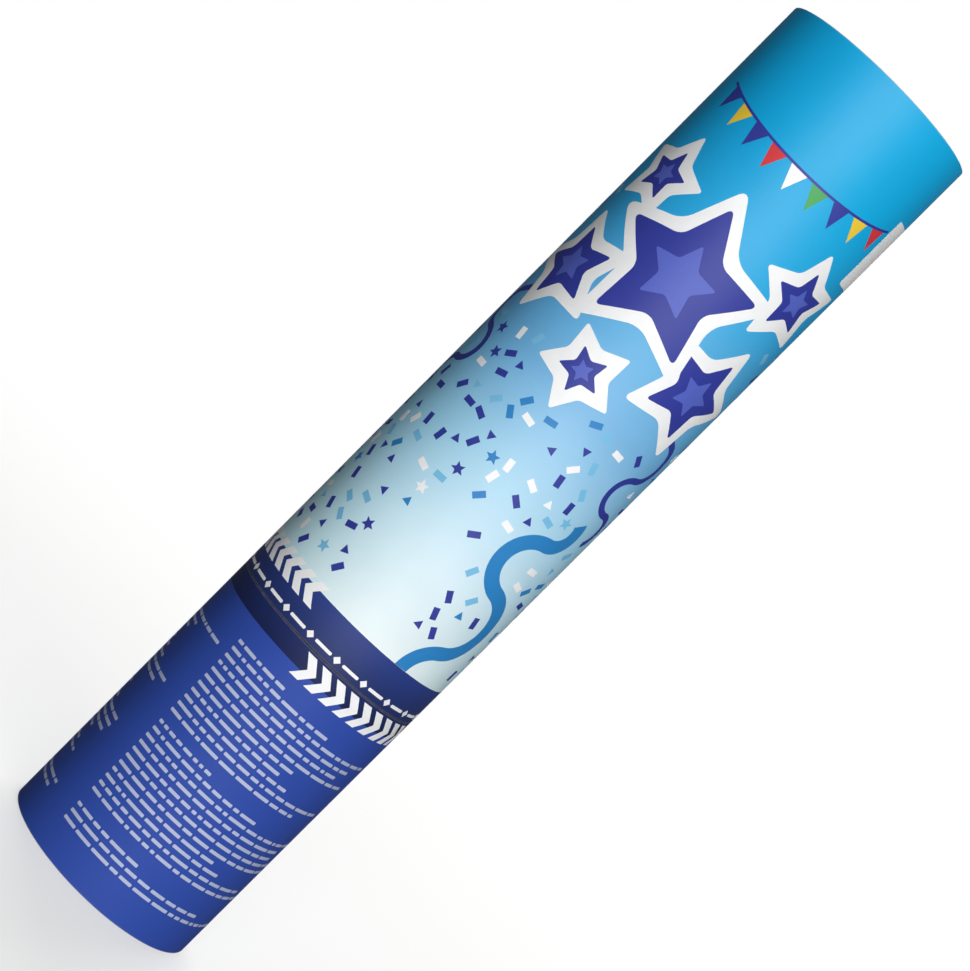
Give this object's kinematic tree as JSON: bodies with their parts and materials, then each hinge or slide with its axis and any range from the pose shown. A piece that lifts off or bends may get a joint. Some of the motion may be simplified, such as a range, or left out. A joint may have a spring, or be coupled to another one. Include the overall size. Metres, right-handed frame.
{
  "type": "confetti popper",
  "caption": "Hand-held confetti popper: a printed card barrel that twists on a shorter handle, where compressed air in a tank is freed by a helical cam and blows out the paper slips.",
  "frame": {"origin": "centre of the handle's rim, on the surface that the popper stands on", "axes": "+Z along the tube towards the muzzle, -Y towards the printed front, +X to the right of the front"},
  "size_m": [0.0505, 0.0504, 0.24],
  "materials": {
    "barrel_print": "coated print, pale to sky blue",
    "handle_print": "coated print, royal blue",
    "kraft_card": "spiral-wound card",
    "black_moulding": "moulded",
    "white_moulding": "moulded",
    "blue_moulding": "moulded",
    "tank_plastic": "blown bottle",
    "valve_brass": "turned",
    "pin_steel": "ground",
    "black_rubber": "moulded",
    "slip_plastic": "smooth",
    "white_foam": "closed-cell foam",
    "confetti_paper": "tissue slips in three blues",
    "gold_foil": "metallised foil on card",
    "clear_plastic": "clear, thermoformed"
  },
  "bodies": {
    "handle": {"handle_tube": "kraft_card", "handle_label": "handle_print", "base_plug": "black_moulding", "lower_packing_ring": "kraft_card", "upper_packing_ring": "kraft_card", "air_tank": "tank_plastic", "fill_valve_body": "valve_brass", "fill_valve_washer": "black_rubber", "fill_valve_sleeve": "black_rubber", "lower_slip_washer": "slip_plastic", "upper_slip_washer": "slip_plastic", "tank_head": "white_moulding", "head_gasket": "black_rubber"},
    "barrel": {"barrel_tube": "kraft_card", "barrel_label": "barrel_print", "barrel_collar": "white_moulding", "drive_cap": "white_moulding"},
    "plug": {"release_plug": "blue_moulding", "plug_seal_ring": "black_rubber", "cam_pin": "pin_steel"},
    "charge": {"wad_card": "kraft_card", "wad_foam": "white_foam", "confetti_bundles": "confetti_paper"},
    "seal": {"gold_seal": "gold_foil"},
    "cap": {"muzzle_cap": "clear_plastic"}
  },
  "joints": [
    {"name": "twist", "type": "hinge", "parent": "handle", "child": "barrel", "pos_m": [0, 0, 0.072], "axis": [0, 0, -1], "range_deg": [0, 100]},
    {"name": "plug_lift", "type": "slide", "parent": "barrel", "child": "plug", "axis": [0, 0, 1], "range_m": [0, 0.0041]},
    {"name": "charge_shot", "type": "slide", "parent": "barrel", "child": "charge", "axis": [0, 0, 1], "range_m": [0, 0.122]},
    {"name": "seal_peel", "type": "slide", "parent": "charge", "child": "seal", "axis": [0, 0, 1], "range_m": [0, 0.03]},
    {"name": "cap_pull", "type": "slide", "parent": "seal", "child": "cap", "axis": [0, 0, 1], "range_m": [0, 0.03]}
  ],
  "couplings": [
    {"joint": "plug_lift", "follows": "twist", "m_per_rad": 0.0022918}
  ]
}
